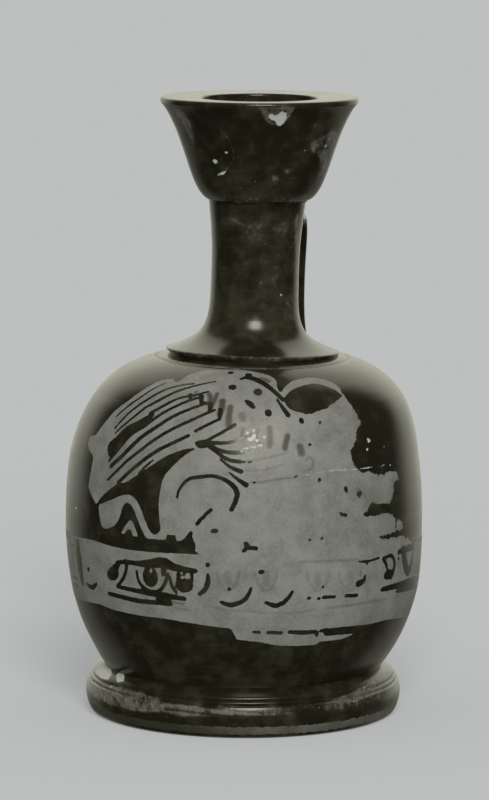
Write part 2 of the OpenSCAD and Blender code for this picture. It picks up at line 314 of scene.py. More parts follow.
class Brushwork:
    """Paint and damage on the outside of a piece. Points are where the photograph shows them, in its
    pixels, and each is put on the piece where the camera sees it. Widths are in millimetres."""

    far = 9.0
    bleed = 0.07        # how far black paint runs past the brush
    chip_edge = 0.6     # widths over which the edge of a chip, a rubbed place and a grey trace fade
    rub_edge = 0.9
    trace_edge = 0.5
    full_wear = 0.95
    beyond_view = 99.0  # more pixels than any distance in a patch

    def __init__(self, piece, inner_radius=0.0, lowest=-1.0):
        self.mesh = piece.data
        self.places = np.array([vertex.co for vertex in self.mesh.vertices])
        faces = [tuple(face.vertices) for face in self.mesh.polygons]
        self.tree = BVHTree.FromPolygons([Vector(place) for place in self.places], faces)
        self.turns = np.arctan2(self.places[:, 0], -self.places[:, 1])
        self.outer = (self.places[:, 2] > lowest) & (np.hypot(*self.places[:, :2].T) > inner_radius)
        self.bare = np.array([item.value for item in self.mesh.attributes["bare"].data])
        self.rub = np.array([item.value for item in self.mesh.attributes["rub"].data])
        self.ghost = np.zeros(len(self.places))     # black worn to a grey shadow
        self.chip = np.zeros(len(self.places))      # flaked down to the paler clay, and also a painted highlight

    def seen_at(self, pixel):
        """The place on the piece that the photograph shows at this pixel."""
        over = pixel[0] - image_width / 2
        up = image_height / 2 - pixel[1]
        ray = camera_turn @ Vector((over, up, -focal_length_in_pixels))
        place = self.tree.ray_cast(camera_place, ray.normalized())[0]
        if place is None:
            raise ValueError(f"pixel {pixel} is beside the piece")
        return np.array(place)

    def faded(self, depth, edge):
        """From 0 outside to 1 inside, over an edge of this width."""
        return np.clip(0.5 + depth / edge, 0, 1)

    def near(self, line, reach=2.5 * mm):
        """The outer points that lie within reach of the line's box."""
        low = line.min(0) - reach
        high = line.max(0) + reach
        return np.flatnonzero(self.outer & (self.places > low).all(1) & (self.places < high).all(1))

    def depth_in_stroke(self, line, widths):
        """How deep in a stroke each near point lies, in mm, with its widths from end to end."""
        line = np.array(line)
        chosen = self.near(line)
        along = np.concatenate(([0], np.cumsum(np.linalg.norm(np.diff(line, axis=0), axis=1))))
        halves = np.interp(along / along[-1], np.linspace(0, 1, len(widths)), widths) / 2
        depth = np.full(len(chosen), -self.far)
        places = self.places[chosen]
        for start, end, half, next_half in zip(line[:-1], line[1:], halves[:-1], halves[1:]):
            span = end - start
            share = np.clip((places - start) @ span / max(span @ span, 1e-12), 0, 1)
            away = np.linalg.norm(places - start - share[:, None] * span, axis=1) / mm
            depth = np.maximum(depth, half + (next_half - half) * share - away)
        return chosen, depth

    def depth_in_patch(self, line):
        """How deep in a closed outline each near point lies, in mm, and below 0 outside."""
        line = np.array(line + [line[0]])
        chosen, depth = self.depth_in_stroke(line, (0, 0))
        turns = self.turns[chosen]
        heights = self.places[chosen, 2]
        line_turns = np.unwrap(np.arctan2(line[:, 0], -line[:, 1]))
        inside = np.zeros(len(chosen), bool)
        for i in range(len(line) - 1):
            rise = line[i + 1, 2] - line[i, 2]
            if rise:
                crosses = (line[i, 2] > heights) != (line[i + 1, 2] > heights)
                turned = line_turns[i + 1] - line_turns[i]
                meets = line_turns[i] + (heights - line[i, 2]) / rise * turned
                inside ^= crosses & (turns < meets)
        return chosen, np.where(inside, -depth, depth)

    def paint(self, chosen, depth, colour):
        """Adds clay, black, wear or a chip where depth is above 0."""
        if colour == "clay":
            self.bare[chosen] = np.maximum(self.bare[chosen], depth)
        elif colour == "chip":
            self.chip[chosen] = np.maximum(self.chip[chosen], self.faded(depth, self.chip_edge))
        elif colour == "worn":
            wear = self.full_wear * np.clip(depth / self.rub_edge, 0, 1)
            self.rub[chosen] = np.maximum(self.rub[chosen], wear)
        else:
            self.bare[chosen] = np.minimum(self.bare[chosen], -depth - self.bleed)

    def stroke(self, pixels, *widths, colour="black"):
        """One stroke of the brush through the pixels, with its widths from end to end."""
        line = [self.seen_at(pixel) for pixel in eased(pixels)]
        self.paint(*self.depth_in_stroke(line, widths), colour)

    def strokes(self, drawn, colour="black"):
        for pixels, widths in drawn:
            self.stroke(pixels, *widths, colour=colour)

    def patch(self, pixels, colour="black", straight=False):
        """A filled outline through the pixels, smooth or with straight sides."""
        points = [np.array(p, float) for p in pixels] if straight else eased(pixels, True)
        self.paint(*self.depth_in_patch([self.seen_at(pixel) for pixel in points]), colour)

    def patch_in_view(self, pixels, colour):
        """A closed outline laid over the piece as the camera sees it, for places that lie almost
        edge-on."""
        away = (self.places - np.array(camera_place)) @ np.array(camera_turn)
        across = image_width / 2 - focal_length_in_pixels * away[:, 0] / away[:, 2]
        down = image_height / 2 + focal_length_in_pixels * away[:, 1] / away[:, 2]
        facing = [vertex.normal.dot(camera_place - vertex.co) > 0 for vertex in self.mesh.vertices]
        line = eased(pixels, True)
        line.append(line[0])
        inside = np.zeros(len(self.places), bool)
        distance = np.full(len(self.places), self.beyond_view)
        for (x, y), (next_x, next_y) in zip(line[:-1], line[1:]):
            span_x = next_x - x
            span_y = next_y - y
            share = ((across - x) * span_x + (down - y) * span_y) / (span_x ** 2 + span_y ** 2)
            share = np.clip(share, 0, 1)
            away_from_side = np.hypot(across - x - share * span_x, down - y - share * span_y)
            distance = np.minimum(distance, away_from_side)
            if span_y:
                inside ^= ((y > down) != (next_y > down)) & (across < x + (down - y) / span_y * span_x)
        chosen = np.flatnonzero(inside & facing & self.outer)
        pixels_per_mm = focal_length_in_pixels * mm / camera_place.length
        self.paint(chosen, distance[chosen] / pixels_per_mm, colour)

    def spot(self, pixel, width, height, colour="black"):
        """A round or oval dab, with its size in mm."""
        centre = self.seen_at(pixel)
        chosen = self.near(centre[None, :], 2 * max(width, height) * mm)
        offset = (self.places[chosen] - centre) / mm
        across = np.hypot(offset[:, 0], offset[:, 1]) / (width / 2)
        depth = (1 - np.hypot(across, offset[:, 2] / (height / 2))) * min(width, height) / 2
        self.paint(chosen, depth, colour)

    def spots(self, drawn, colour="black"):
        for pixel, width, height in drawn:
            self.spot(pixel, width, height, colour)

    def shadow(self, pixels, width, strength):
        """A soft grey trace of a worn stroke."""
        line = [self.seen_at(pixel) for pixel in eased(pixels)]
        chosen, depth = self.depth_in_stroke(line, (width, width))
        trace = strength * self.faded(depth, self.trace_edge)
        self.ghost[chosen] = np.maximum(self.ghost[chosen], trace)

    def shadows(self, drawn):
        for pixels, width, strength in drawn:
            self.shadow(pixels, width, strength)

    def keep(self):
        """Leaves the layers on the mesh, where the finish reads them."""
        for name, values in (("bare", np.clip(self.bare, -self.far, self.far)), ("ghost", self.ghost),
                             ("chip", self.chip), ("rub", self.rub)):
            layer = self.mesh.attributes.get(name) or self.mesh.attributes.new(name, "FLOAT", "POINT")
            layer.data.foreach_set("value", values.astype(np.float32))


def eased(points, closed=False, share=5):
    """A smooth line through the points, with share steps from one to the next."""
    points = np.array(points, float)
    count = len(points)
    line = []
    for i in range(count if closed else count - 1):
        if closed:
            a, b, c, d = (points[(i + k) % count] for k in (-1, 0, 1, 2))
        else:
            a, b, c, d = (points[min(max(i + k, 0), count - 1)] for k in (-1, 0, 1, 2))
        slope = 2 * a - 5 * b + 4 * c - d
        for t in np.arange(share) / share:
            line.append(b + 0.5 * t * (c - a + t * (slope + t * (3 * (b - c) + d - a))))
    return line if closed else line + [points[-1]]


gloss_black = (0.0118, 0.0115, 0.0058, 1)
gloss_thin = (0.037, 0.035, 0.0195, 1)  # where the slip is thin, brownish
gloss_worn_and_glare = (0.115, 0.112, 0.090, 1)   # rubbed on an edge, and also used for a painted glare on the neck's right edge
clay_light = (0.236, 0.237, 0.210, 1)
clay_dark = (0.112, 0.111, 0.092, 1)
# the pale of flakes and chips, also used for a highlight painted on the beast's shoulder
chip_and_highlight_pale = (0.45, 0.45, 0.40, 1)
shiny_roughness = (0.16, 0.27)          # of the gloss, from its smoothest places to its dullest
dull_roughness = 0.44                   # of bare clay, and nearly that of worn gloss
refraction = 1.42
gloss_tint = (1, 0.98, 0.84, 1)
slip_step = 0.025 * mm                  # how far the gloss stands above the clay
ragged_to_right = (6 * mm, 32 * mm)     # the paint's edges are torn more and more between these
ragged_above = (44 * mm, 48 * mm)
painted_side_shade = (14 * mm, 44 * mm)      # painted shade: the clay darkens from the middle to the sides, where the round body turns from the lamp
chips_above = 0.92                      # levels of the noise above which a chip or a fleck shows
flecks_above = 0.86


def pottery(name, wear=0.5, seed=0.0, drawing=None, unsteady=0.35):
    """Black gloss over fired clay. Attribute bare is the depth in mm inside unpainted clay, rub the wear
    of an edge and a painted glare, ghost a black line worn to a grey shadow, and chip a flake and a painted
    highlight. drawing(wire, place, noise) gives a black pattern, and unsteady is how much the edges of the
    paint waver, in mm."""
    material = bpy.data.materials.new(name)
    material.use_nodes = True
    tree = material.node_tree
    tree.nodes.clear()
    wire = Wire(tree)
    where = wire.make("ShaderNodeTexCoord", None, None, "Object")

    def noise(size, detail=4, roughness=0.55, stretch=None):
        place = where
        if stretch:
            place = wire.make("ShaderNodeMapping", None, {"Vector": where, "Scale": stretch})
        sockets = {"Vector": place, "W": seed, "Scale": 1 / size, "Detail": detail, "Roughness": roughness}
        return wire.make("ShaderNodeTexNoise", {"noise_dimensions": "4D"}, sockets)

    def layer(attribute):
        return wire.make("ShaderNodeAttribute", {"attribute_name": attribute}, None, "Fac")

    bare = layer("bare")
    if drawing:
        black_depth = drawing(wire, where, noise)
        bare = bare.maths("MINIMUM", -black_depth)
    rub = layer("rub")
    ghost = layer("ghost")
    chip = layer("chip")
    cloud = noise(22 * mm)
    mottle = noise(5 * mm, 5, 0.6)
    grain = noise(0.55 * mm, 3, 0.6)
    pits = noise(1.5 * mm, 3, 0.5)
    streaks = noise(6 * mm, 4, 0.6, (1, 1, 9))

    sideways = wire.make("ShaderNodeSeparateXYZ", None, {0: where})
    ragged = sideways.ramp(*ragged_to_right) * sideways.other("Z").ramp(*ragged_above)
    waver = (noise(0.9 * mm, 3) - 0.5) * unsteady
    torn = (noise(1.3 * mm, 5, 0.75) - 0.5) * ragged * 2.6
    clay = (bare + waver + torn).ramp(-0.05, 0.05)

    chips = (pits + cloud * 0.22 + rub * 0.10 - chips_above + wear * 0.03).ramp(0, 0.02)
    flecks = (grain + cloud * 0.20 + rub * 0.12 - flecks_above + wear * 0.03).ramp(0, 0.03) * 0.5
    knocked = (chip + (pits - 0.5) * 1.3 + (grain - 0.5) * 0.9).ramp(0.38, 0.72)
    flaked = chips.maths("MAXIMUM", flecks).maths("MAXIMUM", knocked)

    thin = (mottle * 0.8 + streaks * 0.2 + cloud * 0.5 + rub * 0.22).ramp(0.66, 1.0)
    black = thin.colour(gloss_black, gloss_thin)
    broken = (mottle - 0.5) * 2.6 + (pits - 0.5) * 1.6 + (grain - 0.5) * 0.9
    worn = (rub * 0.9 + broken * (rub * 2.5).maths("MINIMUM", 0.8)).ramp(0.30, 1.05)
    black = worn.colour(black, gloss_worn_and_glare)

    # Painted shade: the clay's tone is mixed darker towards the sides of the body, on top of its random
    # stains.
    aside = sideways.maths("ABSOLUTE").ramp(*painted_side_shade)
    specks = (noise(0.8 * mm, 2) + cloud * 0.15).ramp(0.76, 0.80) * 0.55
    stains_and_side_shade = (mottle * 0.7 + cloud * 0.35 + grain * 0.50 + aside * 0.12).ramp(0.58, 1.16)
    ground = stains_and_side_shade.colour(clay_light, clay_dark)
    ground = specks.colour(ground, gloss_thin)
    ground = (ghost * (0.75 + 0.5 * mottle)).colour(ground, gloss_thin)
    skin = clay.colour(black, ground)
    skin = (flaked * (1 - clay)).maths("MAXIMUM", knocked).colour(skin, chip_and_highlight_pale)

    dull = clay.maths("MAXIMUM", flaked).maths("MAXIMUM", worn * 0.7)
    shine = (cloud * 0.5 + mottle * 0.5).ramp(0.3, 0.75).between(*shiny_roughness)
    roughness = dull.between(shine, dull_roughness)
    height = (streaks * 0.010 + mottle * 0.024 + pits * 0.006) * mm + (1 - dull) * slip_step
    relief = wire.make("ShaderNodeBump", None, {"Strength": 0.8, "Distance": 1.0, "Height": height})
    surface = wire.make("ShaderNodeBsdfPrincipled", None,
                        {"Base Color": skin, "Roughness": roughness, "Normal": relief,
                         "IOR": refraction, "Specular Tint": gloss_tint})
    wire.make("ShaderNodeOutputMaterial", None, {"Surface": surface})
    return material


ring_inner = foot_radius - foot_lower_inset - resting_ring_width
upper_centre = (foot_radius - foot_upper_radius, foot_widest_height)
lower_centre = (foot_radius - foot_lower_radius, foot_widest_height)
lowest_angle = math.degrees(math.asin((foot_widest_height - foot_chamfer / 2) / foot_lower_radius))
lower_side = arc(lower_centre, foot_lower_radius, -lowest_angle, 0, 16)
foot_side = []
for step in range(1, foot_side_steps + 1):
    angle = foot_meets_body * step / foot_side_steps
    groove = sum(math.exp(-((angle - line) / scored_half_width) ** 2) for line in scored_lines)
    foot_side += arc(upper_centre, foot_upper_radius - scored_depth * groove, angle, angle, 1)[:1]
foot_outline = (
    [(0, recess_depth), (ring_inner - recess_slope, recess_depth - recess_dish), (ring_inner, 0),
     (lower_side[0][0] - foot_chamfer, 0)]
    + lower_side + foot_side + [body_entry, (seat_radius, seat_height), (0, seat_height)])
foot_bare = []
foot_rub = []
for radius, height in foot_outline:
    if radius < ring_inner + mm and height < seat_height - mm:
        bare = bare_through
    elif height < foot_widest_height:
        bare = min(height - reserved_band[0], reserved_band[1] - height) / mm
    else:
        bare = all_black
    wear = math.exp(-((height - ridge_height) / ridge_reach) ** 2) * ridge_wear
    foot_bare.append(bare)
    foot_rub.append(wear if radius > seat_radius else 0.0)
foot_gloss = pottery("foot_gloss", wear=0.9, seed=3.0, unsteady=1.5)
foot = throw("thrown_foot", foot_outline, foot_gloss, foot_rub, foot_bare, columns=360,
             rings=(3 * mm, 0.05 * mm), unevenness=0.10 * mm, seed=4.0)
foot_paint = Brushwork(foot, inner_radius=20 * mm)
low_band_darkening = (1.15, 0.62)                     # on the left and right, as a share of a full grey trace
darkening_changes = (-22 * mm, 6 * mm)       # from left to right
large_chip = [
    (95, 671), (99.6, 665.6), (104.6, 663), (109.6, 666.4), (112, 673), (108, 679.6), (100, 677.4)]
small_chip = [(115.6, 676), (119, 672.6), (124.4, 675), (123, 681.4), (117, 682)]
rubbed_shoulder = [
    (88, 676), (98, 680), (124, 686), (152, 694), (168, 704), (160, 714), (130, 712), (104, 704),
    (90, 694)]
rubbed_right = [
    (330, 700), (352, 690), (376, 676), (392, 668), (398, 676), (392, 688), (372, 698), (346, 706)]
rubbed_ridges = [
    ([(108, 688), (150, 702.6), (213, 711), (262, 714.4), (300, 712)], (1.4, 2.2, 2.6, 2.0, 0.8)),
    ([(150, 708), (180, 713.6), (213, 716)], (0.8, 2.4, 1.0)),
    ([(160, 698), (213, 705.6), (260, 707)], (0.5, 1.0, 0.6)),
    ([(300, 706), (345, 700), (385, 688)], (0.8, 2.2, 2.6))]
# The bare band low on the foot is made darker with a grey trace, more on the left than on the right.
low_on_foot = foot_paint.places[:, 2] < foot_widest_height
foot_paint.ghost[low_on_foot] = np.interp(foot_paint.places[low_on_foot, 0], darkening_changes, low_band_darkening)
foot_paint.patch_in_view(large_chip, "chip")
foot_paint.patch_in_view(small_chip, "chip")
foot_paint.patch_in_view(rubbed_shoulder, "worn")
foot_paint.patch_in_view(rubbed_right, "worn")
foot_paint.strokes(rubbed_ridges, "worn")
foot_paint.keep()
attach(foot, "root")
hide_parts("foot")


# ---- Body ---------------------------------------------------------------------------------
# The closed body, thrown in one piece, with a barrel-shaped wall and a sloping shoulder. The
# front carries a figure left in the clay colour, and a band of eggs below it runs round the pot.
belly_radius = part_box("body")[1].x
belly_height = 50 * mm
shoulder_height = 93.4 * mm
shoulder_radius = 22.5 * mm
shoulder_rise = 11                      # degrees
shoulder_pull = 18.2 * mm
belly_pull_down = 16 * mm
belly_pull_up = 28.6 * mm
entry_lean = 55.6                       # degrees
entry_pull = 15.1 * mm
wall = 4.2 * mm
throat_radius = 8 * mm
inner_floor = (29 * mm, 14.2 * mm)      # its radius and its height
inner_wall_from = 21 * mm
painted_from = 24 * mm
painted_rows = 0.34 * mm                # how far apart the mesh's rows are
plain_rows = 1.3 * mm
inner_rows = 6 * mm
body_columns = 352


def wall_line(inset):
    """The body's wall from the foot to the shoulder's edge, moved in by inset."""
    base = np.array(body_entry) - (inset, 0)
    widest = np.array((belly_radius - inset, belly_height))
    top = np.array((shoulder_radius, shoulder_height - inset))
    under_belly = widest - (0, belly_pull_down)
    over_belly = widest + (0, belly_pull_up - inset / 2)
    beside_top = top + polar(shoulder_pull - inset, -shoulder_rise)
    low = bend([base, base + polar(entry_pull, entry_lean), under_belly, widest], 60)
    high = bend([widest, over_belly, beside_top, top], 80)
    return [tuple(base)] + low + high


outside = wall_line(0)
low_wall = [p for p in outside if p[1] < painted_from]
high_wall = [p for p in outside if p[1] >= painted_from]
dome_top = shoulder_height + (shoulder_radius - throat_radius) * math.tan(math.radians(shoulder_rise))
inside_wall = [p for p in wall_line(wall) if p[1] > inner_wall_from]
body_outline = (
    [(0, seat_height), (seat_radius, seat_height)]
    + spaced(low_wall, plain_rows)
    + spaced(high_wall, painted_rows)[1:]
    + spaced([(shoulder_radius, shoulder_height), (throat_radius, dome_top)], plain_rows)[1:]
    + [(throat_radius, shoulder_height - wall)]
    + spaced(inside_wall[::-1], inner_rows)
    + [inner_floor, (0, inner_floor[1])])


# The band's eggs round the back, where no photograph shows them, follow the spacing of those in
# front: a core in a clay-coloured ring, a black outline, a tongue between two eggs, and a line above
# and two below.
egg_height = 41.2 * mm
first_turn = 69.2                       # degrees round from the front, at the last egg seen on the right
egg_step = 14.235                       # degrees
counted_from = 4.5                      # keeps the count above 0, and each egg in its cell's middle
back_from = 74.5                        # degrees, and on round the back to back_to
back_to = 289.5
core_half = (1.8, 2.3)                  # mm
ring_half = (3.2, 3.9)
brush = 0.45                            # half the width of a line, in mm
tongue_tip = 1.8                        # mm under the eggs' middle
tongue_slope = 0.16
band_lines = (3.9, -4.7, -6.7)          # mm above the eggs' middle
strays_sideways = (9 * mm, 0.9)         # how far the hand strays, in mm, within what length
strays_upwards = (12 * mm, 0.7)
out_of_band = 20                        # mm, deeper than any black


def eggs_behind(wire, where, noise):
    """How deep in the black of the eggs a place lies, in mm."""
    place = wire.make("ShaderNodeSeparateXYZ", None, {0: where})
    turn = 180 - place.maths("ARCTAN2", place.other("Y")) * math.degrees(1)
    cell = (turn - first_turn) / egg_step + counted_from
    cell_width = math.radians(egg_step) * belly_radius / mm
    aside = (noise(strays_sideways[0], 1) - 0.5) * strays_sideways[1]
    over = (cell.maths("FRACT") - 0.5) * cell_width + aside
    above = (noise(strays_upwards[0], 1) - 0.5) * strays_upwards[1]
    up = (place.other("Z") - egg_height) / mm + above

    def oval(half):
        across = over / half[0]
        tall = up / half[1]
        return (across * across + tall * tall).maths("SQRT")

    below_bar = band_lines[0] - up
    black = (1 - oval(core_half)) * core_half[0]
    rim = (oval(ring_half) - 1).maths("ABSOLUTE") * ring_half[0]
    black = black.maths("MAXIMUM", (brush - rim).maths("MINIMUM", below_bar))
    beside = cell_width / 2 - over.maths("ABSOLUTE")
    tongue = (up + tongue_tip) * tongue_slope - beside
    black = black.maths("MAXIMUM", tongue.maths("MINIMUM", below_bar))
    for height in band_lines:
        black = black.maths("MAXIMUM", brush - (up - height).maths("ABSOLUTE"))
    behind = turn.maths("GREATER_THAN", back_from) * turn.maths("LESS_THAN", back_to)
    return black - (1 - behind) * out_of_band


body_gloss = pottery("body_gloss", wear=0.4, seed=7.0, drawing=eggs_behind)
body = throw("painted_body", body_outline, body_gloss, columns=body_columns, crowding=0.6,
             rings=(6 * mm, 0.10 * mm), unevenness=0.16 * mm, seed=9.0)

# The body slumped a little to the right in drying, most of all at the shoulder.
slump_heights = np.array((0, 13, 18, 35, 48, 68, 84, 100)) * mm
slump_shifts = np.array((0, 0, 0.25, 0.3, 0, 0, 1.2, 1.2)) * mm
wall_places = np.array([vertex.co for vertex in body.data.vertices])
wall_places[:, 0] += np.interp(wall_places[:, 2], slump_heights, slump_shifts)

# A line was scored round the collar before firing, and its edges are rubbed.
collar_axis = np.array((2 * mm, 0))
ring_radius = 25 * mm
ring_depth = 0.3 * mm
ring_half_width = 0.45 * mm
rubbed_half_width = 0.5 * mm
ring_rub = 0.9
ring_above = 88 * mm                    # only the shoulder is scored
from_axis = np.hypot(*(wall_places[:, :2] - collar_axis).T)
on_shoulder = wall_places[:, 2] > ring_above
in_ring = np.exp(-((from_axis - ring_radius) / ring_half_width) ** 2)
wall_places[:, 2] -= ring_depth * in_ring * on_shoulder
body.data.vertices.foreach_set("co", wall_places.astype(np.float32).ravel())
body.data.update()

figure = Brushwork(body, inner_radius=20 * mm, lowest=11.9 * mm)
figure.rub += ring_rub * np.exp(-((from_axis - ring_radius) / rubbed_half_width) ** 2) * on_shoulder

# The clay-coloured ground of the figure: wing, back, head and the worn field to the right.
bare_figure = [
    (98.2, 506), (89.5, 490), (88.8, 484), (91.5, 468), (93, 457), (88.8, 449), (88.3, 442.4),
    (90.5, 436.4), (95.5, 435), (100, 429), (107, 420), (116, 410), (130, 399.6), (140, 392),
    (154, 383.5), (162, 380), (172.5, 378.8), (177, 382), (187, 375.5), (194, 373), (207, 370),
    (227, 369.4), (243, 370), (255.5, 372), (267, 374.7), (273.4, 377.9), (276.6, 381.7), (276.8, 386),
    (278.6, 390.6), (281.2, 392), (284, 388), (288, 384), (292.5, 381), (301.4, 378.6), (311.6, 377.6),
    (324.4, 379.6), (334.6, 384), (340.5, 390), (345.4, 397.6), (349.9, 404), (354.4, 411),
    (357.6, 416.8), (360.7, 422.5), (358.8, 427.6), (356.3, 434), (355, 441.6), (350.5, 451.8),
    (351.8, 458.2), (354.4, 464.6), (358.2, 470.3), (362.7, 472.9), (367.8, 471), (374.1, 473.5),
    (381.8, 474.8), (388.2, 472.2), (395.5, 472), (398.4, 478), (394.5, 483.7), (393.3, 491.4),
    (391.4, 500.3), (389.4, 503.5), (381.8, 503.5), (376.7, 504.1), (371.6, 501), (369.7, 504.1),
    (368.4, 509.2), (362, 515.6), (370.3, 516.3), (376.7, 515.6), (383.1, 513.1), (390.7, 514.3),
    (394.6, 517.5), (395.6, 525.8), (396, 531), (389.6, 533.6), (400, 535), (412, 541.5), (406, 547),
    (396, 552), (390, 575), (300, 585), (220, 575), (197, 552), (180, 545), (150, 535), (120, 520)]
bare_fleck = [(397.3, 518.2), (400.9, 520.7), (402.8, 525.8), (402.2, 530.3), (397.7, 529.6)]
figure.patch(bare_figure, "clay")
figure.patch(bare_fleck, "clay")

# The black ground between wing and haunch, the tail across it, and the short line that the beast
# stands on.
black_ground = [
    (97, 505), (104, 494.7), (117.6, 484), (125.6, 482.6), (139, 474), (154, 464), (167, 456),
    (178, 451.8), (187, 449), (195, 449), (188.6, 452.5), (179, 460), (168.5, 470.6), (163, 478.6),
    (160, 490.7), (158.5, 504), (159, 517.4), (160.2, 527), (159.8, 531), (157, 534), (153, 545),
    (120, 545), (92, 530)]
tail = [
    (98.8, 506.7), (104, 503), (110.9, 500), (120.3, 496), (128.3, 494.7), (135, 498.7), (140.4, 508),
    (144.4, 518.8), (149, 529.5), (153.8, 534.6), (158, 533.4), (162, 530), (170, 532), (167, 539.5),
    (153.8, 539.5), (147, 538.2), (143, 532.2), (137.7, 520), (133, 508), (128.3, 502.9),
    (123.3, 505.4), (118.9, 518.8), (112.2, 526.8), (102.2, 526.8)]
gap_beside_tail = [
    (130.3, 520), (135, 528.2), (137.7, 536.9), (133, 536.2), (131.4, 530.5), (127.4, 529.5),
    (124, 535.5), (121, 533.5)]
standing_line = [
    (76, 536.5), (80, 537.5), (93.5, 540.2), (109.6, 545.6), (127, 549.6), (153.8, 552.3),
    (177.9, 553.6), (186, 553.6), (195.3, 549.6), (195.3, 544.2), (191.9, 537.5), (192.6, 532.2),
    (190.6, 530.8), (183.2, 540.2), (176.5, 541.6), (175.2, 535.5), (167.2, 534.9), (165.8, 540.2),
    (147, 538.9), (120, 533), (96, 526), (76, 520)]
figure.patch(black_ground)
figure.patch(tail, "clay")
figure.patch(gap_beside_tail, "clay")
figure.patch(standing_line, straight=True)

# Feathers of the wing, each one stroke of a fine brush, given by points along it and then by its
# widths from end to end. The longest gap between two is filled with black.
feathers = [
    ([(116, 416.6), (127, 407), (138, 399), (152, 389.6), (166, 382.6)], (0.4, 0.65, 0.6, 0.4)),
    ([(115, 428), (117.6, 425), (130, 412), (146, 400.4), (164.5, 390), (180.6, 385.4), (194, 383.6)],
     (0.55, 0.75, 0.55)),
    ([(115.4, 433.4), (121.6, 427), (143, 409.6), (151, 404.6), (174, 392.6), (194, 386), (215, 381.5)],
     (0.5, 0.85, 0.6)),
    ([(150, 413.5), (162, 406.6), (178, 398.6), (194, 395.4), (208, 391.6)], (0.9, 0.7, 0.6)),
    ([(109, 461), (118, 450), (131, 435), (146, 425), (162, 413.6), (180.6, 404), (194, 399), (200, 397.6)],
     (0.7, 0.8, 0.7)),
    ([(111, 466), (121, 457), (139.7, 438.6), (154, 428.6), (172.5, 416.8), (188.6, 409.6), (203, 404.5)],
     (1.2, 0.95, 0.7)),
    ([(107.6, 480), (127, 461), (139.7, 451), (154, 440), (172.5, 429), (194, 419), (214.5, 410)],
     (0.7, 0.8, 0.7)),
    ([(118, 482.6), (135, 467), (155.3, 452), (172, 443.4), (188.4, 435.6)], (0.9, 0.95, 0.8)),
    ([(195.6, 431), (207, 425), (220, 419)], (0.8, 0.75, 0.7)),
    ([(139, 473), (146, 466), (154, 459.6)], (0.4, 0.6, 0.3)),
    ([(190, 394.8), (190.6, 399.6)], (1.0, 0.6)),
    ([(201.4, 396.5), (201.4, 404)], (1.3, 0.8)),
    ([(210.6, 404), (209.6, 411.6)], (1.2, 0.9)),
    ([(220.4, 410), (219.6, 418.4)], (1.2, 0.9)),
    ([(203, 402.6), (206.6, 403.6)], (0.9, 0.8))]
filled_gap = [
    (108.2, 445), (109, 457), (111.4, 456), (119, 446), (131, 434.5), (142, 426), (153, 417),
    (153.6, 412.6), (147, 415.6), (138, 421), (127, 426.4), (116.4, 436.6)]
figure.strokes(feathers)
figure.patch(filled_gap)

# The wing's root, with the ribs that fan from it.
wing_root = [
    (195.4, 442.6), (200, 440.6), (206, 440), (210, 441.6), (210, 446), (204, 448), (198, 447.4)]
wing_ribs = [
    ([(206, 441), (221, 433), (228.4, 428.6), (234.6, 425)], (0.7, 0.7, 0.9)),
    ([(207, 442.6), (225, 443), (236, 440.6), (243, 437.8)], (1.0, 0.8, 0.55)),
    ([(208.7, 445), (221, 450.5), (230, 452.4), (238, 452.4)], (0.7, 0.8, 1.0)),
    ([(208.7, 446.6), (221, 455.4), (230, 460), (239.8, 461.6)], (0.6, 0.8, 1.0)),
    ([(220, 459), (230, 466.6), (241, 471.4)], (0.4, 0.8, 1.1)),
    ([(229.5, 472.6), (237, 478.6), (246, 485)], (0.4, 0.8, 1.25)),
    ([(241, 452.6), (243, 452.6)], (0.7, 0.7)),
    ([(242, 461.6), (245, 461.8)], (0.5, 0.5)),
    ([(249, 462), (251, 461.6)], (0.6, 0.5))]
figure.patch(wing_root)
figure.strokes(wing_ribs)

# The haunch, the leg and the mane, and the far wing as a dark oval.
beast_lines = [
    ([(177, 497.4), (179, 490), (184.6, 482.4), (191, 478.2), (202, 476.8), (212.7, 476), (223.4, 479),
      (232.4, 485), (237, 493), (235.6, 501), (231.6, 509.4)], (0.5, 0.8, 0.85, 1.25, 1.1)),
    ([(197, 524), (200.6, 519.6), (204.7, 516)], (0.9, 0.8)),
    ([(206, 514), (211, 510)], (0.8, 0.9)),
    ([(241, 379), (247, 377.6), (254, 378.8), (262, 382.6), (270, 388), (278, 395), (283.4, 400)],
     (0.8, 1.9, 1.7, 1.4, 1.2, 1.0)),
    ([(277, 399.6), (282.3, 407.2), (288, 415)], (0.5, 0.9, 1.3)),
    ([(246, 401), (249, 403), (253.4, 407.4)], (0.8, 1.6, 0.9)),
    ([(341.4, 513.4), (345, 515.2)], (0.9, 1.1)),
    ([(386, 537), (392, 535.6), (400, 533), (407, 530.4)], (1.0, 1.3, 2.0)),
    ([(246, 543.6), (247.4, 547), (243.6, 551)], (1.1, 1.3, 0.8)),
    ([(248, 547.6), (256, 548.4)], (1.0, 1.0))]
far_wing = [
    (284.8, 398.3), (290, 391.9), (297.6, 387.4), (309, 384.2), (319.3, 384.2), (329.5, 387.4),
    (337.1, 391.9), (341, 395.7), (338.4, 399.5), (332, 404), (325.7, 408.5), (319.3, 410.4),
    (309, 413.6), (300.2, 412.3), (291.2, 409.7), (286.1, 404.6)]
figure.strokes(beast_lines)
figure.patch(far_wing)

# Spots of the coat, each with its width and height.
coat_spots = [
    ((230.6, 372.8), 1.5, 1.0), ((232.6, 387.2), 2.0, 1.6), ((258, 391.9), 2.1, 3.2),
    ((248.6, 374.8), 1.7, 1.3), ((268.3, 412.9), 1.7, 2.2), ((301.4, 420.6), 1.2, 1.9),
    ((319.9, 422.5), 0.8, 0.9), ((319.3, 480.5), 0.8, 1.3), ((346, 489), 1.4, 1.5),
    ((359, 494.2), 1.7, 1.8), ((295.9, 476.7), 0.8, 0.5), ((254.2, 482.4), 0.6, 0.4),
    ((321.8, 538.4), 0.6, 0.6), ((309.7, 540), 0.6, 0.5), ((309.7, 444.8), 0.7, 0.6),
    ((381.8, 536.7), 1.1, 0.9), ((214.5, 531), 1.9, 1.1)]
figure.spots(coat_spots)

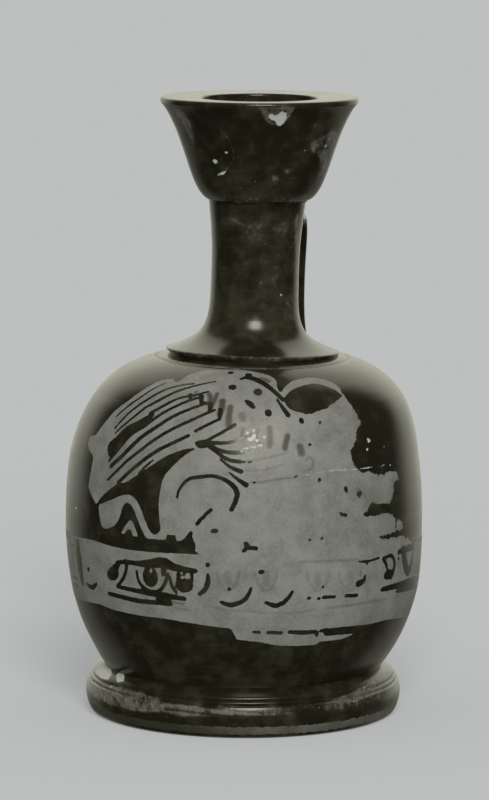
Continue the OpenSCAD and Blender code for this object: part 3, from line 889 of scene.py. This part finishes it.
# Strokes worn to a grey trace, each with its width and how much of it is left.
worn_traces = [
    ([(196, 392), (195, 397)], 1.0, 0.6), ([(209, 394), (210.6, 398), (209, 404)], 1.3, 0.9),
    ([(217, 394), (214.6, 400), (211.6, 407)], 1.2, 0.85),
    ([(222.6, 401), (221.6, 408), (220, 414)], 1.7, 0.95),
    ([(230.4, 407), (229, 416), (228.6, 425)], 1.6, 0.85), ([(241.5, 415), (243, 419)], 1.7, 0.5),
    ([(244, 438), (249, 435), (254, 434)], 0.45, 0.8),
    ([(243, 461.6), (262, 459), (282, 454), (288, 452)], 0.35, 0.5),
    ([(243, 471), (262, 470), (284, 464.6)], 0.35, 0.4),
    ([(247, 483), (262, 482), (284, 478.4), (297, 476.6)], 0.4, 0.6),
    ([(243, 429), (241.6, 436)], 0.8, 0.6), ([(269.6, 428), (270.4, 438), (269.6, 446)], 1.4, 0.65),
    ([(287.6, 436), (286, 442), (285, 448)], 1.5, 0.95), ([(300, 447), (301.6, 453)], 1.9, 0.75),
    ([(306, 460), (309.6, 457.6), (313, 461), (312, 468), (308, 470)], 0.6, 0.4),
    ([(262, 378.6), (268, 381)], 1.6, 0.7), ([(258, 430), (256, 438), (260, 444)], 0.8, 0.45)]
figure.shadows(worn_traces)


# The band of eggs. In front its edges and eggs are where the photograph shows them, worn away in the
# middle. Behind, where no photograph shows it, the band is carried on at the same heights.
def edge_height(pixels):
    """The height of an edge all round, through these pixels in front and level behind."""
    places = [figure.seen_at(pixel) for pixel in pixels]
    turns = [math.atan2(place[0], -place[1]) for place in places]
    return np.interp(figure.turns, turns, [place[2] for place in places], period=math.tau)


band_top_seen = [
    (79, 537), (93.5, 540.2), (109.6, 545.6), (127, 549.6), (153.8, 552.3), (177.9, 553.6),
    (186, 553.6), (397, 551.5), (408.6, 545)]
band_bottom_seen = [
    (80.9, 599.5), (99.2, 604), (112.3, 609.3), (138.4, 615.2), (164.6, 618.4), (190.7, 623),
    (216.9, 626.9), (228.6, 628.2), (323.5, 630.2), (329.3, 628.2), (347.6, 626.3), (367.3, 624.3),
    (386.9, 619.7), (407.8, 615.2)]
wall_heights = figure.places[:, 2]
above_bottom = (wall_heights - edge_height(band_bottom_seen)) / mm
below_top = (edge_height(band_top_seen) - wall_heights) / mm
in_band = np.minimum(above_bottom, below_top)
band_reach = 2                          # mm past the band's edges
on_wall = np.flatnonzero(figure.outer & (in_band > -band_reach))
figure.paint(on_wall, in_band[on_wall], "clay")

# Below the band the black is worn off in front, but for a dashed line.
worn_below_band = [
    (228.6, 628), (231.6, 629.6), (234, 634), (236.5, 639.3), (260, 642), (275.8, 645.2),
    (292.7, 645.9), (316.3, 644.6), (320.2, 641.3), (341, 639.3), (347.6, 636.7), (355.5, 633.5),
    (338.5, 634.8), (326.7, 636), (323.5, 634.8), (323.5, 624), (228, 620)]
figure.patch(worn_below_band, "clay", straight=True)
dashed_line = [
    ([(254, 632), (259.5, 632.4)], (0.7, 0.7)),
    ([(267.9, 632.4), (281, 632.8)], (0.8, 0.9)),
    ([(289.5, 632), (303, 632.6), (315, 632), (317, 635)], (1.0, 1.2, 0.9)),
    ([(321, 631), (326, 630)], (0.9, 1.1))]

# The eggs, tongues and lines that are left in front, from left to right.
first_core = [
    (112, 566), (116, 563), (119.4, 561.6), (119.6, 566), (118.4, 570), (118.6, 575), (116, 579.4),
    (111.4, 580), (108, 577), (107.6, 571.6)]
egg_spots = [
    ((88.4, 569.4), 1.3, 1.3), ((150.2, 576.8), 4.4, 5.2), ((184, 585.4), 4.6, 3.6),
    ((207.7, 564.8), 1.1, 1.1), ((229.3, 589), 0.9, 0.9), ((261.4, 572), 1.4, 1.1),
    ((322.8, 587), 0.7, 0.7), ((309, 598.2), 1.0, 0.8), ((318.9, 598.6), 0.9, 0.8),
    ((388.8, 574.6), 4.2, 2.6), ((398.6, 558.6), 0.9, 1.0), ((366.4, 564), 0.7, 0.9),
    ((159.6, 599.4), 2.2, 1.7), ((168, 601), 1.9, 1.5)]
egg_strokes = [
    ([(77.4, 543), (78.6, 555), (80.2, 568), (82.2, 582)], (2.6, 3.2, 3.2, 1.8)),
    ([(87.4, 584), (90, 586.6), (93.4, 587.2), (96.6, 583.8)], (0.9, 1.3, 0.8)),
    ([(125.4, 560.6), (126.4, 568), (123.4, 578), (117.4, 586)], (0.9, 0.9, 0.8)),
    ([(116.5, 562.5), (126, 562), (138.4, 563.5), (151, 563.6), (163.3, 562.4), (172.4, 566.5),
      (184.2, 569.5), (195.3, 571)], (0.9, 1.0, 1.2, 2.0, 2.6, 2.2, 1.5, 1.1)),
    ([(136.6, 571), (138.4, 580), (143, 587), (150.2, 591.4), (158.4, 591.4), (164.4, 584.4), (167.8, 574)],
     (0.8, 0.8, 1.0, 1.0, 0.9, 0.8)),
    ([(163.6, 571), (163, 575)], (1.6, 0.8)),
    ([(178.6, 574), (179, 580), (180, 584)], (1.0, 1.7)),
    ([(184, 572), (184.6, 580)], (0.5, 1.2)),
    ([(191.6, 574), (191.4, 580), (189, 585)], (0.8, 1.3)),
    ([(169.6, 577), (172, 586), (176.4, 592.6)], (0.7, 0.9, 0.7)),
    ([(207.7, 574.6), (208, 581), (205.4, 589), (199.6, 594)], (0.7, 1.3, 1.2, 0.9)),
    ([(221.4, 602.4), (231, 605), (243, 601), (248.6, 594), (251, 588.4)], (0.8, 1.2, 1.1, 1.0, 0.7)),
    ([(266, 602.6), (275, 605.6), (283, 602.8), (289, 597), (292.4, 591.6)], (0.8, 1.2, 1.1, 1.0, 0.7)),
    ([(324, 597.2), (334.6, 596.8)], (0.8, 0.8)),
    ([(345.7, 595.8), (356.8, 595.4)], (0.8, 0.9)),
    ([(365, 576), (363.4, 581), (358.4, 583.8)], (0.8, 1.7)),
    ([(117.5, 586.4), (128, 589), (151.5, 593.6), (168.5, 596.2), (184.2, 598.8)],
     (0.9, 1.1, 1.3, 1.6, 1.1)),
    ([(109, 593.6), (118.8, 596.2), (138.4, 600.8), (156.7, 602.7), (171, 604.4)], (1.0, 1.2, 1.2, 0.9)),
    ([(359, 561.4), (366, 561.6), (372.5, 560), (378.6, 558)], (0.35, 0.6, 0.5, 0.7)),
    ([(383.8, 558.6), (386, 564), (387.6, 570)], (1.3, 0.9, 0.7)),
    ([(386, 557.2), (391.6, 555.6), (394.4, 562), (393.6, 570), (391, 577)], (0.9, 1.0, 1.0, 1.3)),
    ([(398.6, 553), (403, 549.6), (408, 548.4), (414, 545.6)], (0.9, 1.4, 1.8, 1.4)),
    ([(403.6, 550.6), (404.8, 560), (406, 567), (408.2, 572), (410.6, 566), (412.4, 556), (413, 548)],
     (2.4, 2.6, 2.6, 2.0, 1.0, 0.9)),
    ([(382.3, 589.4), (393.4, 586.6), (405, 583.6), (415.4, 580)], (1.2, 1.6, 2.4, 2.4)),
    ([(396, 591.6), (404, 589.6), (413, 586)], (0.6, 1.3, 1.6))]
figure.patch(first_core)
figure.strokes(dashed_line + egg_strokes)
figure.spots(egg_spots)

# Bare glints left in two of the cores, and the traces of the eggs and lines that are worn away.
core_glints = [((151, 570.8), 0.9, 1.2), ((187.4, 577), 1.6, 1.2), ((182, 577.6), 0.9, 0.8)]
worn_egg_middles = (228, 266, 318, 350)
worn_egg_ring = [(-11, 572), (-9, 582), (0, 591), (9, 582), (11, 572)]
worn_egg_core = [(0, 574), (0, 584)]
ring_trace = (0.6, 0.3)                 # its width, and how much of it is left
core_trace = (1.8, 0.22)
worn_lines = [
    ([(326.7, 608), (345, 606), (366, 602.6), (386.9, 598.8)], 0.4, 0.5),
    ([(205, 606), (240, 611), (290, 613), (316, 609)], 0.5, 0.25),
    ([(300, 562), (330, 561), (358, 560)], 0.5, 0.4),
    ([(172, 601.6), (178, 603), (184, 604)], 0.5, 0.7),
    ([(176, 608), (186, 610)], 0.5, 0.45)]
figure.spots(core_glints, "clay")
for middle in worn_egg_middles:
    figure.shadow([(middle + over, down) for over, down in worn_egg_ring], *ring_trace)
    figure.shadow([(middle + over, down) for over, down in worn_egg_core], *core_trace)
figure.shadows(worn_lines)

# Pale spots on the beast's shoulder, painted as the lamp's highlight on the clay, flakes in the black, and
# a long pale scratch across the beast.
highlight_spots_and_flakes = [
    ((253.6, 431), 0.8, 1.5), ((254, 436.6), 1.1, 2.4), ((250, 439.6), 1.8, 0.8),
    ((257, 440.6), 1.0, 1.0), ((247.6, 433), 0.6, 1.0), ((246, 448.6), 1.6, 0.6),
    ((252.6, 447), 2.0, 0.6), ((259, 445.4), 1.2, 0.6), ((264.4, 437), 0.5, 1.8),
    ((242.6, 451.4), 1.0, 0.6), ((368.4, 440.4), 1.3, 1.5), ((367.1, 449.3), 0.7, 0.7),
    ((384.3, 446.7), 0.6, 0.6), ((92, 566), 0.5, 1.2), ((76, 508), 0.7, 0.7)]
long_scratch = [(287.4, 477.3), (306.5, 474.8), (329.5, 471), (356.3, 469.1), (390.7, 464.6)]
figure.spots(highlight_spots_and_flakes, "chip")
figure.stroke(long_scratch, 0.12, 0.22, 0.12, colour="chip")
figure.keep()
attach(body, "root")
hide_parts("body")


# ---- Collar -------------------------------------------------------------------------------
# A coil of clay smoothed over the joint of neck and shoulder and flared out to a thin edge
# that stands free of the shoulder. It leans with the neck.
neck_offset = 2 * mm
neck_lean = math.radians(1.5)
neck_lean_back = math.radians(1.6)
neck_frame = (Matrix.Translation((neck_offset, 0, shoulder_height))
              @ Matrix.Rotation(neck_lean, 4, "Y") @ Matrix.Rotation(-neck_lean_back, 4, "X"))
collar_radius = 22.5 * mm
collar_edge = 1.3 * mm                  # height of its edge
edge_ease = 0.2 * mm
edge_underside = 0.45 * mm
edge_slope = 0.05 * mm
collar_undercut = 1.1 * mm
undercut_foot = (0.3 * mm, -1.6 * mm)   # in from the undercut's top, and its height
undercut_top = -0.2 * mm                # height
collar_bottom = -3 * mm
collar_rubbed = (0.4 * mm, 0.1 * mm)    # in from the edge and above it
collar_wear = 0.6
collar_arm = np.array((-11.2, 3.6)) * mm
collar_top = 9.6 * mm
waist_radius = 11.4 * mm
waist_height = 23 * mm
waist_pull_down = 15.8 * mm
root_radius = waist_radius - 0.3 * mm   # where the neck's root fills the collar
bore_radius = 6.5 * mm
root_depth = 2 * mm
fine_rows = 0.5 * mm

waist = np.array((waist_radius, waist_height))
edge_top = np.array((collar_radius, collar_edge))
flare_start = edge_top - (edge_ease, 0)
flare = bend([flare_start, edge_top + collar_arm, waist - (0, waist_pull_down), waist], 120)
radius_at_top = np.interp(collar_top, [p[1] for p in flare], [p[0] for p in flare])
flare_end = (radius_at_top, collar_top)
undercut_radius = collar_radius - collar_undercut
collar_outline = (
    [(root_radius, collar_bottom), (undercut_radius - undercut_foot[0], undercut_foot[1]),
     (undercut_radius, undercut_top), (collar_radius - edge_slope, collar_edge - edge_underside),
     (collar_radius, collar_edge - edge_ease), tuple(flare_start)]
    + spaced([p for p in flare if p[1] < collar_top] + [flare_end], fine_rows)
    + [(root_radius, collar_top), (root_radius, collar_bottom)])
collar_rub = []
for radius, height in collar_outline:
    at_edge = height < collar_edge + collar_rubbed[1] and radius > collar_radius - collar_rubbed[0]
    collar_rub.append(collar_wear if at_edge else 0.0)
neck_gloss = pottery("neck_gloss", wear=0.6, seed=12.0)
neck_rings = (5 * mm, 0.10 * mm)
collar = throw("flared_collar", collar_outline, neck_gloss, collar_rub, rings=neck_rings,
               unevenness=0.0, seed=2.0)
collar.data.transform(neck_frame)
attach(collar, "root")
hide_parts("collar")


# ---- Neck ---------------------------------------------------------------------------------
# A thrown tube, narrowest at its waist, that swells a little under the mouth. Its root is
# luted into the body's throat inside the collar, and a tongue on top enters the mouth.
neck_top_radius = waist_radius + 1.2 * mm
neck_length = 133 * mm - shoulder_height
waist_pull_up = 7.2 * mm
neck_top_pull = 4.6 * mm
neck_top_lean = 83                      # degrees
tongue_radius = 9.5 * mm
tongue_height = 3 * mm
into_mouth = 0.8 * mm                   # hidden in the mouth's base, which is level
bore_rows = 3 * mm
lightly_rubbed = 0.28
most_rubbed = 0.62

neck_top = np.array((neck_top_radius, neck_length))
under_top = neck_top - polar(neck_top_pull, neck_top_lean)
upper_neck = bend([waist, waist + (0, waist_pull_up), under_top, neck_top], 60)
neck_wall = [flare_end] + [p for p in flare if p[1] > collar_top] + upper_neck
neck_outline = (
    [(bore_radius, -root_depth), (root_radius, -root_depth), (root_radius, collar_top)]
    + spaced(neck_wall, fine_rows)
    + [(neck_top_radius, neck_length + into_mouth), (tongue_radius, neck_length + into_mouth),
       (tongue_radius, neck_length + tongue_height), (bore_radius, neck_length + tongue_height)]
    + spaced([(bore_radius, neck_length), (bore_radius, -root_depth)], bore_rows))
neck = throw("waisted_neck", neck_outline, neck_gloss, rings=neck_rings, unevenness=0.0, seed=2.0)
neck.data.transform(neck_frame)
neck_paint = Brushwork(neck)
rubbed_front = [
    (222, 216), (296, 214), (298, 240), (296, 300), (300, 326), (286, 330), (276, 300), (262, 312),
    (246, 300), (240, 262), (228, 240)]
# The strip along the neck's right edge is partly wear and partly a painted reflection of light from the
# right.
rubbed_side_and_painted_glare = [
    (294.4, 218), (300, 212), (301, 250), (300, 300), (306, 326), (297, 318), (293.6, 296), (295, 262),
    (293.4, 238)]
neck_chips = [((281, 294.6), 0.6, 0.9), ((277.5, 327.5), 0.9, 0.7)]
neck_paint.patch_in_view(rubbed_front, "worn")
neck_paint.rub *= lightly_rubbed
neck_paint.patch_in_view(rubbed_side_and_painted_glare, "worn")
neck_paint.rub = np.minimum(neck_paint.rub, most_rubbed)
neck_paint.spots(neck_chips, "chip")
neck_paint.keep()
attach(neck, "root")
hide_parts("neck")


# ---- Mouth --------------------------------------------------------------------------------
# A deep calyx-shaped mouth, thrown by itself, with a broad flat lip. It stands upright on the
# leaning neck. Its lip is the most knocked and rubbed part of the flask.
mouth_low, mouth_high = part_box("mouth")
mouth_joint = 133 * mm
vessel_height = mouth_high.z
lip_radius = (mouth_high.x - mouth_low.x) / 2
mouth_centre = ((mouth_high + mouth_low) / 2).xy
lip_round = 1.4 * mm
lip_ease = 0.7 * mm
lip_width = 9.3 * mm
lip_drop = 0.3 * mm
lip_lean = 47                           # degrees
lip_pull = 5.5 * mm
calyx = np.array((17.7 * mm, mouth_joint + 7.4 * mm))
calyx_lean = 68.5                       # degrees
calyx_pull_down = 1.95 * mm
calyx_pull_up = 3.95 * mm
orifice_radius = lip_radius - lip_ease - lip_width
orifice_ease = 0.6 * mm
base_start = (neck_top_radius + 0.1 * mm, mouth_joint + 0.35 * mm)
base_pull = (15.3 * mm, mouth_joint + 0.9 * mm)
lip_inset = 0.3 * mm                    # from the end of the lip's ease to the flat top
lip_sag = 0.01 * mm
lip_rows = 0.7 * mm
funnel_rows = 0.8 * mm
funnel_pull_up = (4 * mm, 3.5 * mm)
funnel_pull_down = (0.6 * mm, 11 * mm)
lip_wear = 0.5
lip_wear_reach = 0.75                   # mm
funnel_wear = 0.42
wear_left = 0.72                        # how much of the wear on lip, funnel and wall shows

lip_under = np.array((lip_radius, vessel_height - lip_round))
rim = vessel_height - lip_drop
socket_top = mouth_joint + tongue_height
funnel_foot = np.array((bore_radius + 0.8 * mm, socket_top))
funnel_top = np.array((orifice_radius - orifice_ease, rim - orifice_ease))
under_calyx = calyx - polar(calyx_pull_down, calyx_lean)
over_calyx = calyx + polar(calyx_pull_up, calyx_lean)
base_line = bend([base_start, base_pull, under_calyx, calyx], 24)
calyx_line = bend([calyx, over_calyx, lip_under - polar(lip_pull, lip_lean), lip_under], 40)
funnel = bend([funnel_foot, funnel_foot + funnel_pull_up, funnel_top - funnel_pull_down, funnel_top], 24)
lip_flat = [(lip_radius - lip_ease - lip_inset, vessel_height - lip_sag), (orifice_radius, rim)]
mouth_outline = (
    [(tongue_radius, mouth_joint), (neck_top_radius, mouth_joint), base_start]
    + spaced(base_line + calyx_line, fine_rows)
    + arc((lip_radius - lip_ease, vessel_height - lip_ease), lip_ease, 0, 90, 6)
    + spaced(lip_flat, lip_rows)
    + arc((orifice_radius, rim - orifice_ease), orifice_ease, 100, 175, 5)
    + spaced(funnel[::-1], funnel_rows)
    + [(funnel_foot[0], socket_top), (tongue_radius, socket_top), (tongue_radius, mouth_joint)])
mouth_rub = []
for radius, height in mouth_outline:
    from_edge = math.hypot(radius - lip_radius, height - vessel_height + lip_ease) / mm
    if height > vessel_height - lip_ease:
        wear = lip_wear * math.exp(-(from_edge / lip_wear_reach) ** 2)
    else:
        wear = funnel_wear if radius < orifice_radius - orifice_ease / 2 else 0.0
    mouth_rub.append(wear)
mouth_gloss = pottery("mouth_gloss", wear=0.8, seed=21.0)
mouth = throw("calyx_mouth", mouth_outline, mouth_gloss, mouth_rub, columns=300,
              rings=(5 * mm, 0.07 * mm), unevenness=0.10 * mm, seed=6.0)
mouth.data.transform(Matrix.Translation((mouth_centre.x, mouth_centre.y, 0)))
mouth_paint = Brushwork(mouth)
rubbed_places = [
    [(258, 105), (296, 105), (293, 115), (286, 125), (276, 129), (266, 124), (260, 114)],
    [(312, 140), (334, 128), (340, 136), (333, 158), (324, 180), (314, 186), (318, 164), (310, 152)],
    [(170, 106), (184, 110), (194, 128), (196, 152), (188, 140), (178, 122)],
    [(269, 174), (277, 173), (281, 179), (276, 185.6), (270, 182)],
    [(281, 170), (289, 167), (294, 171), (287, 175.6)],
    [(311, 124), (316, 121.6), (318, 126), (313, 129)],
    [(193, 181), (199, 179), (202, 188), (198, 195)]]
curved_scratch = [(220, 130), (229, 140), (233.8, 155), (230, 165), (222.5, 172.5)]
short_scrape = [(218, 174.6), (222, 173.6), (225.6, 171)]
lip_chip = [
    (270, 113), (276, 115), (281, 111.4), (287, 113), (285.6, 121.6), (279, 126), (275, 121.6),
    (269.4, 119)]
mouth_chips = [
    ((215, 161.3), 1.4, 1.2), ((226.4, 152.4), 0.8, 0.9), ((236, 168), 0.5, 0.4),
    ((304.6, 151), 0.9, 0.6), ((326, 146), 0.8, 0.6), ((330, 139), 0.6, 0.9)]
for place in rubbed_places:
    mouth_paint.patch_in_view(place, "worn")
mouth_paint.rub *= wear_left
mouth_paint.patch_in_view(lip_chip, "chip")
mouth_paint.spots(mouth_chips, "chip")
mouth_paint.stroke(short_scrape, 0.5, 0.8, 0.4, colour="chip")
mouth_paint.stroke(curved_scratch, 0.9, 1.1, 0.9, colour="worn")
mouth_paint.keep()
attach(mouth, "root")
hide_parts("mouth")


# ---- Handle -------------------------------------------------------------------------------
# A flat strap of clay, pulled by hand, pressed on the neck below the mouth and on the shoulder
# behind, a little round to the right. The fingers left two shallow channels along it.
strap_width = 17.4 * mm
strap_thickness = 4.4 * mm
strap_reach = 21.2 * mm
strap_turn = math.radians(13)
strap_sides = 48
root_spread = 0.19                      # how much larger the strap is at its roots, as a share
width_power = 0.85                      # below 1 the section is fuller than an oval
depth_power = 0.8
full_outside = 1.1                      # the outer side is rounder than the inner one
full_inside = 0.9
channel_depth = 0.65 * mm
channel_place = 0.2                     # from the strap's middle, as a share of its width
channel_half_width = 1.4 * mm

upper_root = (strap_reach - 11.4 * mm, 34.7 * mm)
straight_top = (strap_reach, 25.6 * mm)
straight_bottom = (strap_reach, 12.6 * mm)
lower_root = (strap_reach + 7.6 * mm, -5.4 * mm)
over_shoulder = (strap_reach + 2.6 * mm, 1 * mm)


def strap_tree():
    """Carries a section along a path, larger towards both ends."""
    wire, given = new_tree("strap_along_its_path", {
        "Path": "Geometry", "Section": "Object", "Spread": "Float", "Finish": "Material"})
    path = wire.make("GeometryNodeMeshToCurve", None, {"Mesh": given["Path"]})
    along = wire.make("GeometryNodeSplineParameter")
    off_middle = along * 2 - 1
    size = 1 + given["Spread"] * off_middle * off_middle
    path = wire.make("GeometryNodeSetCurveRadius", None, {"Curve": path, "Radius": size})
    section = wire.make("GeometryNodeObjectInfo", None, {"Object": given["Section"]}, "Geometry")
    section = wire.make("GeometryNodeMeshToCurve", None, {"Mesh": section})
    sockets = {"Curve": path, "Profile Curve": section, "Fill Caps": True, "Scale": size}
    clay = wire.make("GeometryNodeCurveToMesh", None, sockets)
    return close_tree(wire, clay, given["Finish"])


def line_object(name, points, closed):
    """A line of edges for a Geometry Nodes tree to read."""
    line = bpy.data.meshes.new(name)
    count = len(points)
    line.from_pydata(points, [(i, (i + 1) % count) for i in range(count if closed else count - 1)], [])
    holder = bpy.data.objects.new(name, line)
    bpy.context.scene.collection.objects.link(holder)
    return holder


strap_path = (
    [upper_root]
    + bend([upper_root, (strap_reach - 3.8 * mm, 36.4 * mm), (strap_reach, 33.2 * mm), straight_top], 20)
    + bend([straight_top, (strap_reach, 21 * mm), (strap_reach, 17 * mm), straight_bottom], 8)
    + bend([straight_bottom, (strap_reach, 5 * mm), over_shoulder, lower_root], 20))
strap_section = []
for side in range(strap_sides):
    angle = math.tau * side / strap_sides
    sine = math.sin(angle)
    cosine = math.cos(angle)
    across = strap_width / 2 * math.copysign(abs(cosine) ** width_power, cosine)
    fullness = full_outside if sine > 0 else full_inside
    depth = fullness * strap_thickness / 2 * math.copysign(abs(sine) ** depth_power, sine)
    if depth > 0:
        from_channel = abs(across) - strap_width * channel_place
        depth -= channel_depth * math.exp(-(from_channel / channel_half_width) ** 2)
    strap_section.append((across, depth, 0))
strap = line_object("strap_handle", [(0, r, z) for r, z in strap_path], False)
section_line = line_object("strap_section", strap_section, True)
handle_gloss = pottery("handle_gloss", wear=0.6, seed=31.0)
strap_inputs = {"Section": section_line, "Spread": root_spread, "Finish": handle_gloss}
finished_mesh(strap, strap_tree(), strap_inputs)
bpy.data.objects.remove(section_line)
strap.data.transform(neck_frame @ Matrix.Rotation(-strap_turn, 4, "Z"))
strap_bare = strap.data.attributes.new("bare", "FLOAT", "POINT")
strap_bare.data.foreach_set("value", [all_black] * len(strap.data.vertices))
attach(strap, "root")
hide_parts("handle")


# ---- Table and light ----------------------------------------------------------------------
# A plain pale table, one broad lamp in front and above, a little to the right, and even light from
# all round. The gloss mirrors a room that is dark in front of the flask and bright behind it.
pale_surround = (0.500, 0.518, 0.512, 1)
mirrored_surround = (0.520, 0.518, 0.435, 1)    # the same, in the warmer grey that the gloss gives it
even_light = 0.35
lamp_strength = 2.2
lamp_azimuth = 6                        # degrees to the right of the camera
lamp_elevation = 34                     # degrees
lamp_breadth = 26                       # degrees
table_size = 12.0
table_colour = (0.69, 0.715, 0.706, 1)
shadow_softened = 0.45                  # how far the table's shadow gives way to the background
front_dark = 0.06                       # brightness of the mirrored room in front of the flask
back_bright = 1.5                       # and behind it
bright_from = 0.42                      # cosines of the bearings between which it brightens
bright_to = 0.76
bright_later = (0.14, 0.10)             # added to those two above the horizon
brighter_above = 0.7
brighter_right = 0.15
right_side = (0.05, 0.45)               # how far to the right that begins and is full
over_horizon = (-0.05, 0.35)            # sines of the heights between which the room changes
near_zenith = (0.74, 0.92)
at_zenith = (0.78, 0.95)
under_horizon = (-0.26, -0.06)
below_table = 0.30                      # what is left of the brightness well below the horizon
overhead = 0.5                          # brightness straight above

table_mesh = bpy.data.meshes.new("pale_table")
half = table_size / 2
corners = [(-half, -half, 0), (half, -half, 0), (half, half, 0), (-half, half, 0)]
table_mesh.from_pydata(corners, [], [(0, 1, 2, 3)])
table = bpy.data.objects.new("pale_table", table_mesh)
bpy.context.scene.collection.objects.link(table)
table_finish = bpy.data.materials.new("pale_table")
table_finish.use_nodes = True
table_finish.node_tree.nodes.clear()
top = Wire(table_finish.node_tree)
table_ray = top.make("ShaderNodeLightPath", None, None, "Is Camera Ray")
gloss_ray = table_ray.other("Is Glossy Ray")
matt = top.make("ShaderNodeBsdfDiffuse", None, {"Color": table_colour})
plain = top.make("ShaderNodeEmission", None, {"Color": pale_surround, "Strength": 1.0})
lit = top.make("ShaderNodeMixShader", None, {0: table_ray * shadow_softened, 1: matt, 2: plain})
open_below = top.make("ShaderNodeBsdfTransparent")
lit = top.make("ShaderNodeMixShader", None, {0: gloss_ray, 1: lit, 2: open_below})
top.make("ShaderNodeOutputMaterial", None, {"Surface": lit})
table_mesh.materials.append(table_finish)

lamp_data = bpy.data.lights.new("broad_lamp", "SUN")
lamp_data.energy = lamp_strength
lamp_data.angle = math.radians(lamp_breadth)
lamp = bpy.data.objects.new("broad_lamp", lamp_data)
bpy.context.scene.collection.objects.link(lamp)
bearing = math.radians(lamp_azimuth)
elevation = math.radians(lamp_elevation)
level = math.cos(elevation)
lamp_direction = Vector((level * math.sin(bearing), -level * math.cos(bearing), math.sin(elevation)))
lamp.rotation_mode = "QUATERNION"
lamp.rotation_quaternion = (-lamp_direction).to_track_quat("-Z", "Y")

world = bpy.data.worlds.new("pale_surround")
world.use_nodes = True
bpy.context.scene.world = world
world.node_tree.nodes.clear()
air = Wire(world.node_tree)
camera_ray = air.make("ShaderNodeLightPath", None, None, "Is Camera Ray")
glossy_ray = camera_ray.other("Is Glossy Ray")
through_ray = camera_ray.other("Is Transmission Ray")
direction = air.make("ShaderNodeTexCoord", None, None, "Generated")
along = air.make("ShaderNodeSeparateXYZ", None, {0: direction}, "X")
climb = along.other("Z")
level_part = (1 - climb * climb).maths("SQRT") + 0.001
raised = climb.ramp(*over_horizon) * (1 - climb.ramp(*near_zenith))
backwards = along.other("Y") / level_part
behind = backwards.ramp(bright_from + raised * bright_later[0], bright_to + raised * bright_later[1])
mirrored = behind.between(front_dark, back_bright)
mirrored = mirrored * (1 + raised * brighter_above + along.ramp(*right_side) * brighter_right)
mirrored = mirrored * climb.ramp(*under_horizon).between(below_table, 1.0)
mirrored = climb.ramp(*at_zenith).between(mirrored, overhead)
shown = (camera_ray + through_ray + glossy_ray).maths("MINIMUM", 1)
seen = shown.colour((even_light, even_light, even_light, 1), pale_surround)
seen = glossy_ray.colour(seen, mirrored_surround)
strength = glossy_ray.between(1.0, mirrored)
backdrop = air.make("ShaderNodeBackground", None, {"Color": seen, "Strength": strength})
air.make("ShaderNodeOutputWorld", None, {"Surface": backdrop})
